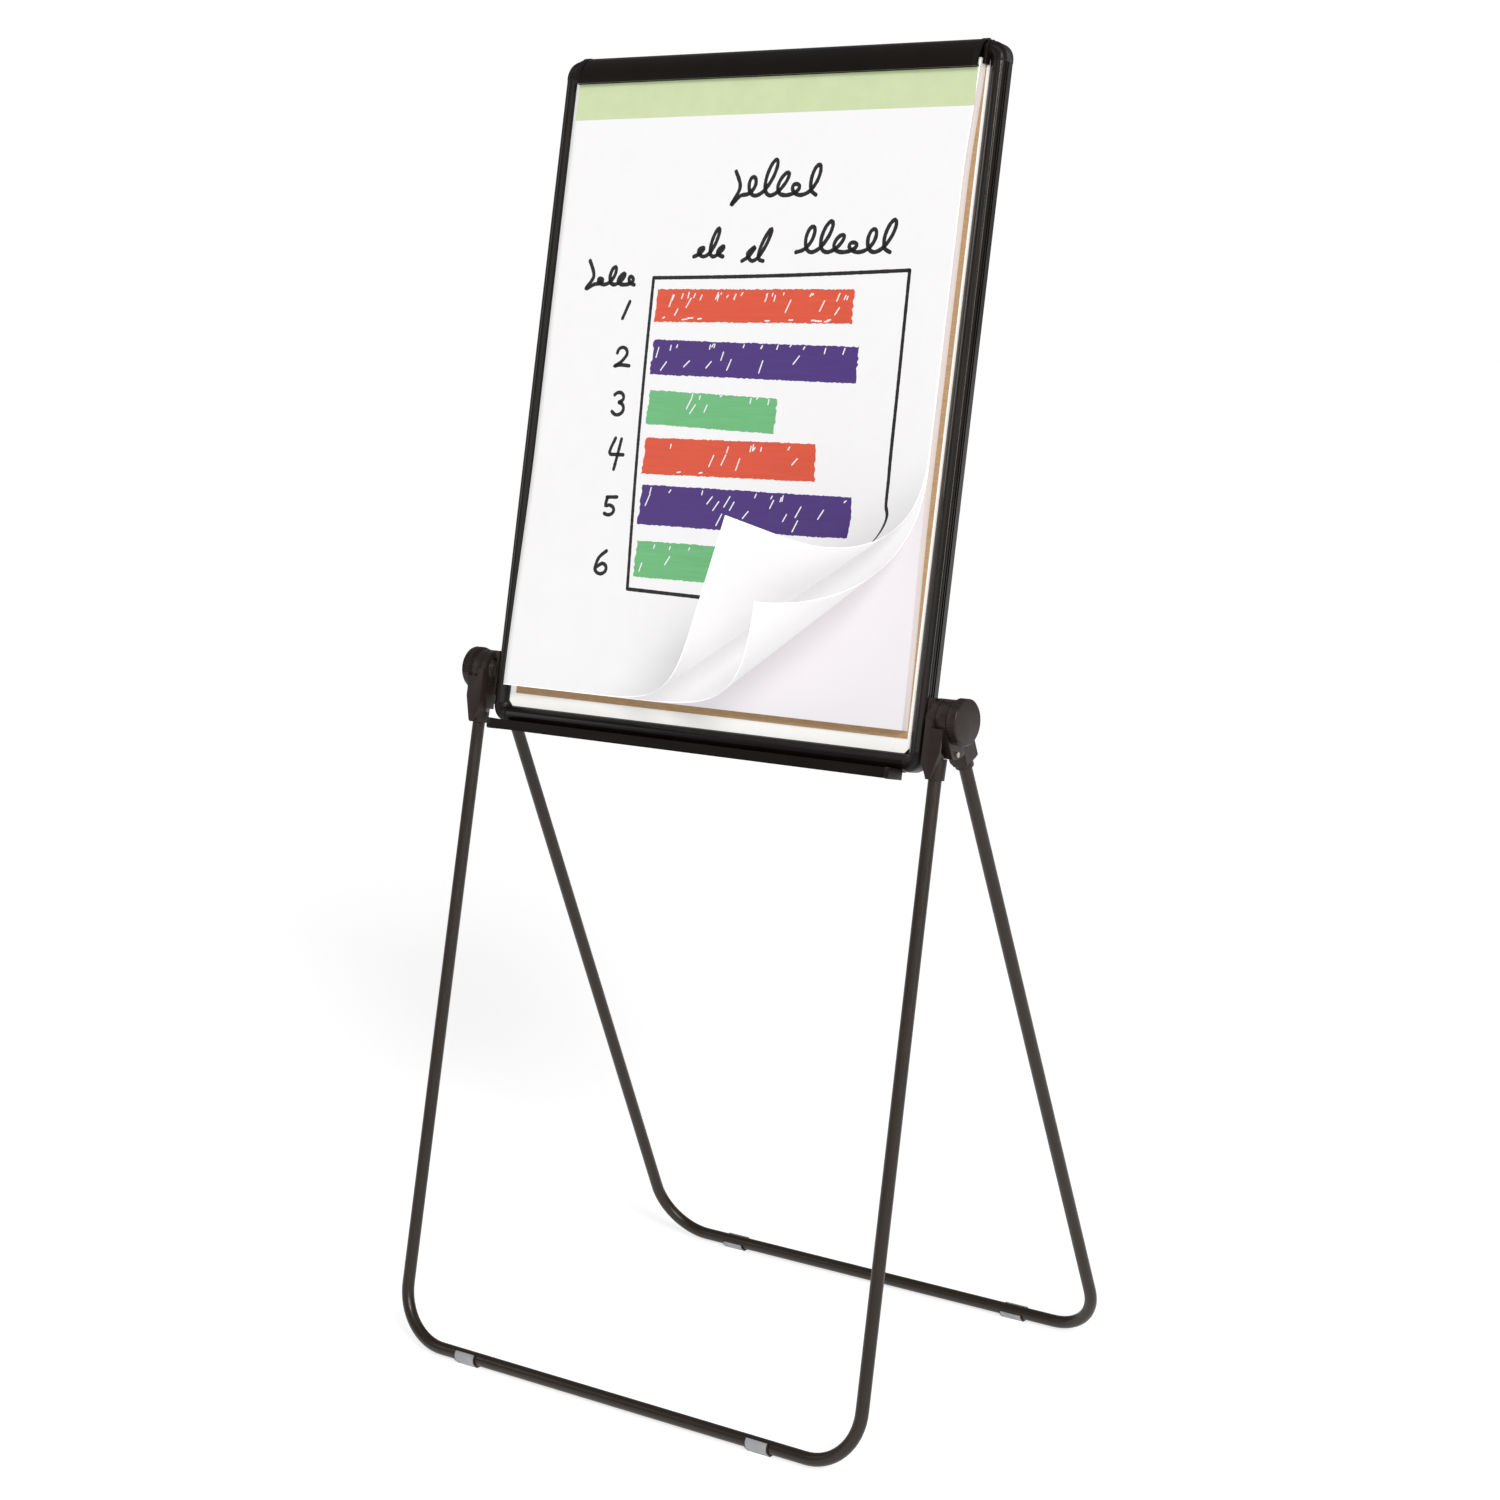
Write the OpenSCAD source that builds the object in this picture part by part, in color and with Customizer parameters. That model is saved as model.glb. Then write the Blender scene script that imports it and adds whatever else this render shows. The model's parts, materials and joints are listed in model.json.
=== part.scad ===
// Folding flipchart easel: two U-shaped tube legs that meet in clamped hinge
// knuckles, a framed writing board that tilts on the same axis, a pen tray
// and a sprung clamp bar that holds a paper pad.

/* [Stance] */
// Height of the hinge axis above the floor
hinge_height = 974; // [900:1:1050]
// Angle of the front legs from the vertical
front_angle = 11.5; // [8:0.5:14]
// Angle of the rear legs from the vertical
rear_angle = 22.7; // [18:0.1:26]
// Angle by which the board leans back
board_tilt = 11.2; // [4:0.1:16]

/* [Leg tubes] */
// Outer diameter of the leg tubes
tube_d = 18; // [16:0.5:19]
// Wall thickness of the leg tubes
tube_wall = 1.5; // [1:0.1:2.5]
// Centreline radius of the tube bends
bend_r = 79; // [60:1:100]
// Distance from the middle to a tube's centre at the hinge
tube_x = 397; // [396:0.5:398]
// How far each leg splays outwards at the floor
leg_splay = 7; // [0:1:12]
// Distance of a leg tube in front of or behind the hinge axis
tube_offset = 13.75; // [13.4:0.05:14.5]

/* [Board] */
// Width of the board over its rails
board_w = 746; // [740:1:750]
// Bottom edge of the board's frame, from the hinge axis
board_bottom = -73; // [-90:1:-65]
// Top edge of the board's frame, from the hinge axis
board_top = 888; // [800:1:900]
// Thickness of the writing panel
panel_t = 8; // [7:0.5:8]
// Length of the pen tray
tray_len = 699; // [500:1:700]

/* [Pad] */
// Width of the paper pad
pad_w = 685.8; // [600:0.1:686]
// Height of the paper pad
pad_h = 883.5; // [800:0.5:883.5]
// Thickness of the stack of pages
pages_t = 13.5; // [4:0.5:14]

/* [Hinges] */
// Outer diameter of the hinge knuckles
knuckle_d = 56; // [52:1:58]
// Diameter of the pivot bolts
bolt_d = 8; // [6:1:10]
// Diameter of the clamping knobs
knob_d = 62; // [56:1:66]

/* [Hidden] */
$fn = 64;

moulded = [0.24, 0.22, 0.21];
painted = [0.15, 0.13, 0.11];
steel = [0.70, 0.70, 0.70];

// Legs. In a leg's own frame the origin is on the hinge axis and the leg points down -Z.
foot_r = 12;                    // outer radius of a foot, and the height of the floor bars
run_gap = 0.06;                 // radial gap of a running fit
lap_gap = 0.4;                  // gap between parts that turn past each other
front_len = (hinge_height - foot_r + tube_offset * sin(front_angle)) / cos(front_angle);
rear_len = (hinge_height - foot_r + tube_offset * sin(rear_angle)) / cos(rear_angle);
front_y = front_len * sin(front_angle) + tube_offset * cos(front_angle) + foot_r;
rear_y = rear_len * sin(rear_angle) + tube_offset * cos(rear_angle) + foot_r;
hinge_y = (front_y - rear_y) / 2;
spread = front_angle + rear_angle;
lap_r = 50;                     // radius within which the two knuckles lap
front_socket_len = 79;
rear_socket_len = 77;
rear_block_end = 72;            // where the rear socket's square block ends
socket_r = 13;
foot_len = 38;
front_feet_x = [-272, 250];
rear_feet_x = [-266, 256];
stop_r = 43.8;                  // radius of the stop screw about the hinge axis
stop_angle = -21.7;             // its angle from the rear leg, negative towards the front
stop_d = 4;
tube_top = 51;                  // where the tubes begin, below the hinge axis
rivet_drop = 60;
sole_w = 9;                     // width of the flat under a foot
foot_inner_lip = 9;             // where a foot's inner lip ends, below the bar's middle
foot_outer_lip = 48;            // where its outer lip ends, above the bar's middle
tongue_t = 4;
groove_t = 6;
washer_r = 20;

// Hinge stack along X, from the board outwards.
half_w = board_w / 2;
plate_x = half_w + 4;
boss_x = 383.4;
inner_x = 384.4;
lap_x = 395;
lap_x2 = 396;
outer_x = 412;
knob_x = 412.8;
knob_end = 429;
tongue_x = 411;
insert_x = [412.1, 424];
bolt_head_r = 8;
knuckle_r = knuckle_d / 2;

// Pivot brackets.
bracket_y = [-14, 14];
bracket_z = [-36.7, 27.5];
flange_h = 11;
screw_z = [-29, 20];

// Board. In the board's frame X is across, Z is up the board and the front faces -Y.
rail_w = 24;
crest_y = 17.5;
rail_back = -8;
crest_r = 9.5;
rail_wall = 1.6;
// Radius of the slope that falls from the crest to the panel's face
slope_drop = crest_y - panel_t - 0.3;
slope_r = (pow(rail_w - crest_r, 2) + pow(slope_drop, 2)) / (2 * slope_drop);
panel_in = 12;                  // how far the panel sits inside the rails' outer faces
cap_leg = 3;                    // how far a corner cap runs past its corner
slot_x = 4.8;                   // thickness of the rails' outer walls
tongue_len = 20;
panel_z0 = board_bottom + panel_in;
panel_z1 = board_top - panel_in;
skin = 0.5;
top_rail_y = 9.5;
top_rail_z = board_top - 6.5;
plug_t = 7;
tray_screw_x = [-270, -90, 90, 270];

// Pad, stacked forward from the panel.
pad_z0 = -20;
backing_y = panel_t + 0.1;
backing_w = pad_w - 4.5;
backing_x = 3.2;                // the backing card lies a little to the right under the pages
pages_y = backing_y + 1;
sheet2_y = pages_y + pages_t + 0.2;
sheet1_y = sheet2_y + 0.5;
sheet_t = 0.3;
binding_y = sheet1_y + sheet_t + 0.1;

// Clamp bar, hinged on a rod along the frame's top back edge.
rod_y = 4;
rod_z = board_top - 1.5;
rod_r = 2;
barrel_r = 4.6;
clamp_half = 343;
rod_half = 348.8;
lip_y = 30.5;
lip_z = board_top - 37;
grip_y = 24;
top_arc_r = 17;
top_arc = [5, board_top + 4 - top_arc_r];
// Radius of the front arc that joins the lip to the top arc without a corner
front_arc_r = (pow(lip_y - top_arc[0], 2) + pow(top_arc[1] - lip_z, 2) - pow(top_arc_r, 2))
    / (2 * (lip_y - top_arc[0] - top_arc_r));
front_arc = [lip_y - front_arc_r, lip_z];
shell_t = 1.6;
spring_x = 270;
spring_half = 15;

// Lifted corners of the two top sheets: where the lift line crosses the bottom edge, the
// line's angle, the roll's radius there, the cone's half angle and the turn of the roll.
front_roll = [-189, 35.1, 82.7, 1.81, 140];
second_roll = [-123, 37.9, 130.8, 0.12, 136];

module in_leg(angle) {
    translate([0, hinge_y, hinge_height]) rotate([angle, 0, 0]) children();
}

module on_board() {
    translate([0, hinge_y, hinge_height]) rotate([-board_tilt, 0, 0]) children();
}

// A cylinder along X from x0 to x1.
module x_cylinder(r, x0, x1) {
    translate([x0, 0, 0]) rotate([0, 90, 0]) cylinder(r = r, h = x1 - x0);
}

// An outline drawn in Y and Z, extruded along X from x0 to x1.
module x_extrude(x0, x1) {
    translate([x0, 0, 0]) rotate([90, 0, 90]) linear_extrude(x1 - x0) children();
}

// An outline drawn in X and depth below the hinge, extruded backwards from y0 by t.
module y_extrude(y0, t) {
    translate([0, y0, 0]) rotate([-90, 0, 0]) linear_extrude(t) children();
}

// Mirrors its children to the left when side is -1.
module on_side(side) {
    if (side < 0) mirror([1, 0, 0]) children();
    else children();
}

// ---- Leg tubes ----

module tube_ring(extra) {
    difference() {
        circle(tube_d / 2 + extra);
        circle(tube_d / 2 - tube_wall - extra);
    }
}

// One U-shaped tube: two splayed legs, two bends and the bar on the floor.
module leg_tube(len) {
    splay = atan(leg_splay / len);
    straight = (len - bend_r * (1 + sin(splay))) / cos(splay);
    bend_x = tube_x + straight * sin(splay) - bend_r * cos(splay);
    color(painted) difference() {
        union() {
            for (side = [-1, 1]) on_side(side) {
                translate([tube_x, 0, 0]) rotate([0, -splay, 0]) translate([0, 0, -straight])
                    linear_extrude(straight - tube_top) tube_ring(0);
                // a bend is a little thicker than the tube, and laps 1 degree onto both ends
                translate([bend_x, 0, bend_r - len]) rotate([90, 0, 0]) rotate([0, 0, -91])
                    rotate_extrude(angle = 92 + splay) translate([bend_r, 0]) tube_ring(0.05);
            }
            translate([-bend_x, 0, -len]) rotate([0, 90, 0]) linear_extrude(2 * bend_x) tube_ring(0);
        }
        rivets(0, 0.05);
    }
}

// A snap-on foot: a C-shaped clip, open upwards and inwards, with a flat sole.
// out is -1 when the bar's outer side faces the front and 1 when it faces the back.
module foot(x, y, out) {
    color([0.58, 0.58, 0.57]) translate([x - foot_len / 2, y, foot_r]) difference() {
        union() {
            x_cylinder(foot_r - 0.6, 0, foot_len);
            translate([0, -sole_w / 2, -foot_r]) cube([foot_len, sole_w, foot_r / 2]);
        }
        x_cylinder(tube_d / 2 + 0.02, -1, foot_len + 1);
        x_extrude(-1, foot_len + 1) polygon([[0, 0], [-20 * out, -20 * sin(foot_inner_lip)],
            [-20 * out, 30], [20 * out * cos(foot_outer_lip), 30],
            [20 * out * cos(foot_outer_lip), 20 * sin(foot_outer_lip)]]);
    }
}

// ---- Hinge sockets, modelled for the right side ----

// Blind rivets through the sockets' inner sides into the tube's legs.
module rivets(offset, extra) {
    for (side = [-1, 1]) on_side(side) translate([0, offset, -rivet_drop]) {
        x_cylinder(2 + extra, inner_x - 0.5, tube_x - tube_d / 2 + 3);
        x_cylinder(3.5, inner_x - 1.2, inner_x);
    }
}

// The tube's bore in a socket, following the splay.
module tube_bore(len, offset) {
    translate([tube_x, offset, 0]) rotate([0, -atan(leg_splay / len), 0])
        translate([0, 0, -tube_top - 60]) cylinder(r = tube_d / 2 + 0.02, h = 60);
}

// Tapered boss around a tube, kept on its own side of the hinge's middle plane.
module tube_boss(len, offset) {
    intersection() {
        translate([tube_x, offset, -len])
            cylinder(r1 = socket_r - 0.3, r2 = socket_r + 0.4, h = len - lap_r - lap_gap);
        translate([inner_x, offset < 0 ? -60 : lap_gap / 2, -100])
            cube([40, 60 - lap_gap / 2, 100]);
    }
}

// Inner half of the hinge, on the front legs.
module front_socket() {
    tongue_y = -knuckle_r - tongue_t - lap_gap;
    tip_x = tube_x + 0.5;
    tip_r = 5;
    color(moulded) difference() {
        union() {
            x_cylinder(knuckle_r, inner_x, lap_x);
            // neck that laps inside the rear neck
            intersection() {
                x_cylinder(lap_r, inner_x, lap_x);
                x_extrude(inner_x, lap_x)
                    polygon([[-knuckle_r, 4], [knuckle_r - 4, 4], [16, -60], [-knuckle_r, -60]]);
            }
            // shank from the neck down to the boss
            x_extrude(inner_x, lap_x)
                polygon([[tongue_y, -1], [tongue_y, -58], [-lap_gap / 2, -58], [-lap_gap / 2, -28],
                    [-12, -20]]);
            // tongue across the front of both halves, tapering to a rounded tip
            y_extrude(tongue_y, tongue_t)
                polygon([[inner_x, 1], [lap_x, 1], [lap_x, 12.6], [tongue_x, 12.6], [tongue_x, 42],
                    for (a = [0:15:180]) [tip_x + tip_r * cos(a), front_socket_len - tip_r * (1 - sin(a))],
                    [inner_x, 50]]);
            // filling between the tongue and the boss, hollowed where the rear neck turns
            difference() {
                y_extrude(tongue_y, 16)
                    polygon([[inner_x, 40], [tongue_x, 40],
                        [tip_x + tip_r, front_socket_len - tip_r],
                        [tip_x - tip_r, front_socket_len - tip_r], [inner_x, 58]]);
                x_cylinder(lap_r + lap_gap, lap_x, outer_x);
            }
            tube_boss(front_socket_len, -tube_offset);
        }
        x_cylinder(bolt_d / 2 + run_gap, inner_x - 1, lap_x + 1);
        tube_bore(front_len, -tube_offset);
        rivets(-tube_offset, 0.05);
        // arc groove in which the stop screw travels
        for (a = [stop_angle, stop_angle + spread]) rotate([a, 0, 0]) translate([0, 0, -stop_r])
            x_cylinder(stop_d / 2 + 0.5, lap_x - groove_t, lap_x + 1);
        rotate([0, 90, 0]) rotate([0, 0, stop_angle]) translate([0, 0, lap_x - groove_t])
            rotate_extrude(angle = spread) translate([stop_r - stop_d / 2 - 0.2, 0])
                square([stop_d + 0.4, groove_t + 1]);
    }
}

// Outer half of the hinge, on the rear legs.
module rear_socket() {
    color(moulded) difference() {
        union() {
            x_cylinder(knuckle_r, lap_x2, outer_x);
            intersection() {
                x_cylinder(lap_r, lap_x2, outer_x);
                x_extrude(lap_x2, outer_x)
                    polygon([[-knuckle_r, 0], [knuckle_r, 0], [knuckle_r, -60], [-knuckle_r, -60]]);
            }
            x_extrude(lap_x2, outer_x)
                polygon([[lap_gap / 2, -28], [knuckle_r, 0], [knuckle_r, -56], [lap_gap / 2, -56]]);
            // square block around the tube, with a chamfered end
            y_extrude(lap_gap / 2, knuckle_r - lap_gap / 2)
                polygon([[inner_x, lap_r + lap_gap], [outer_x, lap_r + lap_gap],
                    [outer_x, rear_block_end - 6], [outer_x - 5, rear_block_end],
                    [inner_x + 5, rear_block_end], [inner_x, rear_block_end - 6]]);
            tube_boss(rear_socket_len, tube_offset);
        }
        x_cylinder(bolt_d / 2 + run_gap, lap_x2 - 1, outer_x + 1);
        tube_bore(rear_len, tube_offset);
        rivets(tube_offset, 0.05);
        stop_hole();
    }
}

module stop_hole() {
    rotate([stop_angle, 0, 0]) translate([0, 0, -stop_r])
        x_cylinder(stop_d / 2 + 0.02, lap_x2 - 1, outer_x + 1);
}

// Screws in the rear sockets that run in the front sockets' grooves and limit the spread.
module stop_screws() {
    color(steel) for (side = [-1, 1]) on_side(side) rotate([stop_angle, 0, 0])
        translate([0, 0, -stop_r]) difference() {
            union() {
                x_cylinder(stop_d / 2, lap_x - groove_t + 1, outer_x);
                x_cylinder(3.5, outer_x, outer_x + 2);
            }
            translate([outer_x + 1.2, -5, -0.5]) cube([2, 10, 1]);
        }
}

// Flat rings around both pivot bolts.
module washers(x0, x1) {
    color([0.75, 0.72, 0.65]) for (side = [-1, 1]) on_side(side) difference() {
        x_cylinder(washer_r, x0, x1);
        x_cylinder(bolt_d / 2 + run_gap, x0 - 1, x1 + 1);
    }
}

// ---- Pivot brackets, bolts and knobs, modelled for the right side ----

// The bracket lies on the rail's outer side and wraps behind it.
module bracket() {
    tall = bracket_z[1] - bracket_z[0];
    deep = bracket_y[1] - bracket_y[0];
    color(moulded) difference() {
        union() {
            translate([half_w, bracket_y[0], bracket_z[0]]) cube([plate_x - half_w, deep, tall]);
            translate([half_w - 20, -rail_back, bracket_z[0]])
                cube([plate_x - half_w + 20, bracket_y[1] + rail_back, tall]);
            for (z = [bracket_z[0], bracket_z[1] - flange_h])
                translate([plate_x - 1, bracket_y[0], z]) cube([boss_x - plate_x + 1, deep, flange_h]);
            x_cylinder(17.5, half_w + 1, boss_x);
        }
        x_cylinder(bolt_d / 2 + 0.05, half_w - 1, boss_x + 1);
        x_cylinder(bolt_head_r + 0.1, half_w - 1, plate_x);
        bracket_screws(0.05);
    }
}

// Pan-head screws through a bracket's wing into the rail's back.
module bracket_screws(extra) {
    for (z = screw_z) translate([half_w - 16, bracket_y[1], z]) rotate([90, 0, 0]) {
        cylinder(r = 1.75 + extra, h = bracket_y[1] + 6.5);
        translate([0, 0, -2]) cylinder(r = 3.6, h = 2);
    }
}

// Bolt whose flat head is held between the bracket and the rail.
module pivot_bolt() {
    color(steel) {
        x_cylinder(bolt_head_r, half_w, plate_x);
        x_cylinder(bolt_d / 2, plate_x, knob_end - 4);
    }
}

// Clamping knob, with ridged and smooth grips by turns around its rim. turn is the angle of
// the middle of a ridged grip, forwards from the top.
module knob(turn) {
    knob_r = knob_d / 2;
    color(moulded) difference() {
        union() {
            x_cylinder(knob_r - 3, knob_x, knob_end);
            x_cylinder(knob_r, knob_x + 2, knob_end - 1.6);
            translate([knob_end - 1.6, 0, 0]) rotate([0, 90, 0])
                cylinder(r1 = knob_r, r2 = knob_r - 1.6, h = 1.6);
        }
        for (sector = [0:90:270], step = [-3:3]) rotate([sector + step * 7.5 + turn, 0, 0])
            translate([0, 0, knob_r + 0.3]) x_cylinder(1.8, knob_x - 1, knob_end - 2.2);
        x_cylinder(bolt_d / 2 + 0.3, knob_x - 1, knob_end - 3);
        insert_body();
    }
}

module insert_body() {
    translate([insert_x[0], 0, 0]) rotate([0, 90, 0])
        cylinder(r = 7.5, h = insert_x[1] - insert_x[0], $fn = 6);
}

module knob_insert() {
    color([0.78, 0.63, 0.33]) difference() {
        insert_body();
        x_cylinder(bolt_d / 2 + run_gap, insert_x[0] - 1, insert_x[1] + 1);
    }
}

// ---- Board frame, in the board's own frame ----

// Rail outline: x runs inwards from the outer face, y is the height off the panel's back.
module rail_outline(grow) {
    translate([-grow, rail_back]) square([rail_w + grow, panel_t + 0.3 - rail_back]);
    translate([-grow, rail_back]) square([crest_r, crest_y - crest_r - rail_back]);
    translate([crest_r, crest_y - crest_r]) circle(crest_r + grow);
    intersection() {
        translate([crest_r, crest_y - slope_r]) circle(slope_r + grow);
        translate([crest_r, 0]) square([rail_w - crest_r, crest_y + 2]);
    }
}

module rail_section() {
    difference() {
        rail_outline(0);
        translate([slot_x, 0]) square([rail_w, panel_t]);
        for (y = [1, 5.5]) translate([-1, y]) square([2.6, 3.5]);
        // hollows under the crest and behind the panel
        intersection() {
            translate([crest_r, crest_y - crest_r]) circle(crest_r - rail_wall);
            translate([0, panel_t + rail_wall]) square([rail_w, 20]);
        }
        translate([rail_wall, rail_back + rail_wall])
            square([rail_w - 2 * rail_wall, -rail_back - 2 * rail_wall]);
    }
}

module side_rail() {
    z0 = board_bottom + rail_w + cap_leg;
    color(painted) difference() {
        translate([half_w, 0, z0]) rotate([0, 0, 180])
            linear_extrude(board_top - rail_w - cap_leg - z0) rail_section();
        bracket_screws(0.05);
    }
}

module bottom_rail() {
    run = half_w - rail_w - cap_leg;
    color(painted) difference() {
        x_extrude(-run, run) translate([0, board_bottom]) rotate(90) rail_section();
        tray_screws(0.05);
    }
}

// The top rail is a plain channel, low enough for the clamp bar's barrel to turn above it.
module top_rail() {
    run = half_w - rail_w;
    color(painted) difference() {
        translate([-run, -top_rail_y, board_top - rail_w])
            cube([2 * run, top_rail_y - rail_back, top_rail_z - board_top + rail_w]);
        translate([-run - 1, -panel_t, 0]) cube([2 * run + 2, panel_t, panel_z1 + 1]);
        translate([-run - 1, rail_wall, board_top - rail_w + rail_wall])
            cube([2 * run + 2, -rail_back - 2 * rail_wall, top_rail_z - board_top + rail_w - 2 * rail_wall]);
    }
}

// Turns its children upside down when up is -1.
module flip(up) {
    if (up < 0) mirror([0, 0, 1]) children();
    else children();
}

// Corner cap for the right side: the rail's outline turned through a quarter circle.
// up is 1 at the top and -1 at the bottom; leg is its run along the cross rail.
module corner_cap(up, leg) {
    inner = half_w - rail_w;
    corner_z = up > 0 ? board_top - rail_w : board_bottom + rail_w;
    color(moulded) translate([inner, 0, corner_z]) flip(up) difference() {
        union() {
            rotate([90, 0, 0]) rotate_extrude(angle = 90) intersection() {
                translate([rail_w, 0]) mirror([1, 0]) rail_outline(0.4);
                translate([0, rail_back]) square([rail_w + 1, 30]);
            }
            translate([rail_w, 0, -cap_leg]) rotate([0, 0, 180]) linear_extrude(cap_leg) rail_outline(0.4);
            if (leg > 0) x_extrude(-leg, 0) translate([0, rail_w])
                rotate(-90) mirror([0, 1]) rail_outline(0.4);
            // tongue in the side rail's slot
            translate([rail_w - panel_in + 0.1, 0.1 - panel_t, -cap_leg - tongue_len])
                cube([panel_in - slot_x - 0.2, panel_t - 0.2, tongue_len + 1]);
            if (leg > 0) translate([-leg - tongue_len, 0.1 - panel_t, rail_w - panel_in + 0.1])
                cube([tongue_len + 1, panel_t - 0.2, panel_in - slot_x - 0.2]);
            // gusset on the panel's corner
            if (leg > 0) rotate([90, 0, 0]) translate([0, 0, panel_t]) linear_extrude(1.2)
                polygon([[1, 1], [1, -8], [-8, 1]]);
        }
        translate([-50, -panel_t, -50]) cube([50 + rail_w - panel_in, panel_t, 50 + rail_w - panel_in]);
    }
}

// One layer of the writing panel, from y0 to y1.
module panel_layer(y0, y1) {
    difference() {
        translate([-half_w + panel_in, y0, panel_z0])
            cube([board_w - 2 * panel_in, y1 - y0, panel_z1 - panel_z0]);
        for (side = [-1, 1]) on_side(side) bracket_screws(0.05);
    }
}

// ---- Pen tray ----

module pen_tray() {
    half = tray_len / 2 - plug_t;
    color(painted) difference() {
        x_extrude(-half, half) translate([0, board_bottom])
            polygon([[-0.5, 0], [-21, 0], [-21, -9.5], [-49.5, -9.5], [-49.5, 1.6], [-47.5, 1.6],
                [-47.5, 3], [-51, 3], [-51, -11], [-19.5, -11], [-19.5, -1.5], [-0.5, -1.5]]);
        tray_screws(0.05);
    }
}

// End plug: a plate over the tray's end with a block that fills the channel.
module tray_plug() {
    half = tray_len / 2 - plug_t;
    color(moulded) translate([0, 0, board_bottom]) {
        x_extrude(half, half + plug_t)
            polygon([[-18.9, -11.6], [-18.9, -1.6], [-22, 2.4], [-49, 3.6], [-51.6, 3.6], [-51.6, -9.6],
                [-49.6, -11.6]]);
        x_extrude(half - 12, half)
            polygon([[-21, -9.5], [-21, 0], [-47.5, 1.6], [-49.5, 1.6], [-49.5, -9.5]]);
    }
}

module tray_screws(extra) {
    for (x = tray_screw_x) translate([x, -5, board_bottom - 3.5]) {
        cylinder(r = 3.2, h = 2);
        cylinder(r = 1.75 + extra, h = 13);
    }
}

// ---- Clamp bar ----

// Part of a ring of outer radius r about c, t thick, from angle a0 to a1.
module arc_band(c, r, t, a0, a1) {
    translate(c) intersection() {
        difference() {
            circle(r);
            circle(r - t);
        }
        polygon([[0, 0], for (k = [0:4]) 2 * r * [cos(a0 + (a1 - a0) * k / 4), sin(a0 + (a1 - a0) * k / 4)]]);
    }
}

// Shell of the clamp bar: x is the height off the panel's back, y is the height on the board.
module hood_shell(grow, t, last) {
    join = atan2(top_arc[1] - front_arc[1], top_arc[0] - front_arc[0]);
    arc_band(front_arc, front_arc_r + grow, t, 0, join);
    arc_band(top_arc, top_arc_r + grow, t, join, last);
}

module clamp_bar() {
    color(painted) difference() {
        x_extrude(-clamp_half, clamp_half) mirror([1, 0]) {
            hood_shell(0, shell_t, 106);
            translate([rod_y, rod_z]) circle(barrel_r);
            translate([lip_y - 5, lip_z]) square([5 - shell_t / 2, shell_t]);
        }
        translate([0, -rod_y, rod_z]) x_cylinder(rod_r + run_gap, -clamp_half - 1, clamp_half + 1);
        for (side = [-1, 1]) translate([side * spring_x - spring_half, -rod_y - 5.2, rod_z - 6])
            cube([2 * spring_half, 12, 9.6]);
    }
}

// Rubber strip on the lip that presses on the pad.
module clamp_grip() {
    color([0.1, 0.1, 0.1]) x_extrude(-clamp_half + 4, clamp_half - 4) mirror([1, 0])
        translate([grip_y, lip_z - 0.5]) square([lip_y - 5 - grip_y, 6.5]);
}

// Thin trim over one end of the clamp bar.
module clamp_trim() {
    color(moulded) x_extrude(clamp_half - 8, clamp_half) mirror([1, 0]) hood_shell(0.8, 0.8, 90);
}

// Block at the top corner that carries the end of the rod.
module clamp_block() {
    color(moulded) difference() {
        x_extrude(clamp_half + 0.8, half_w - rail_w)
            polygon([[1, top_rail_z], [1, board_top + 1], [-6, board_top + 2.6], [-14, board_top],
                [-20, board_top - 8], [-20, board_top - 32], [-top_rail_y, board_top - 32],
                [-top_rail_y, top_rail_z]]);
        translate([0, -rod_y, rod_z]) x_cylinder(rod_r + 0.02, clamp_half, rod_half + 0.2);
    }
}

module clamp_rod() {
    color(steel) translate([0, -rod_y, rod_z]) x_cylinder(rod_r, -rod_half, rod_half);
}

// Close-wound torsion springs around the rod.
module clamp_springs() {
    turns = 20;
    wire_r = 0.6;
    color(steel) for (side = [-1, 1])
        translate([side * spring_x - turns * wire_r, -rod_y, rod_z]) rotate([0, 90, 0])
            rotate_extrude() for (k = [0:turns])
                translate([rod_r + wire_r, 2 * k * wire_r * 0.96]) circle(wire_r);
}

// ---- Pad ----

// A slab of the pad, from y0 off the panel's back, t thick.
module slab(w, z0, z1, y0, t) {
    translate([-w / 2, -y0 - t, z0]) cube([w, t, z1 - z0]);
}

// Green tape over the top of the pages, cut slightly askew.
module pad_binding() {
    color([0.80, 0.84, 0.66]) translate([0, -binding_y, 0]) rotate([90, 0, 0]) linear_extrude(0.25)
        polygon([[-pad_w / 2 + 5, 798.7], [pad_w / 2 - 1, 800.4], [pad_w / 2 - 2, pad_z0 + pad_h - 1],
            [-pad_w / 2 + 5, pad_z0 + pad_h - 1]]);
}

// Where a point of a flat sheet goes when the sheet's lower right corner is rolled up.
// The sheet winds onto a cone tangent to it along the lift line, and runs straight after
// roll[4] degrees. roll is [lift line's crossing of the bottom edge, its angle, the roll's
// radius there, the cone's half angle, turn]. Returns x, height up the board, lift.
function rolled(x, z, roll) =
    let (along = [cos(roll[1]), sin(roll[1]), 0], across = [sin(roll[1]), -cos(roll[1]), 0],
        apex = [roll[0], pad_z0, 0] - along * roll[2] / sin(roll[3]),
        d = [x, z, 0] - apex, dist = norm(d), fan = atan2(d * across, d * along))
    fan <= 0 ? [x, z, 0] :
    let (turn = min(fan / sin(roll[3]), roll[4]), rest = fan - turn * sin(roll[3]),
        axis = along * cos(roll[3]) + [0, 0, sin(roll[3])],
        side = -along * sin(roll[3]) + [0, 0, cos(roll[3])],
        line = axis * cos(roll[3]) - side * sin(roll[3]) * cos(turn) + across * sin(roll[3]) * sin(turn))
    apex + dist * (cos(rest) * line + sin(rest) * (side * sin(turn) + across * cos(turn)));

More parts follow.
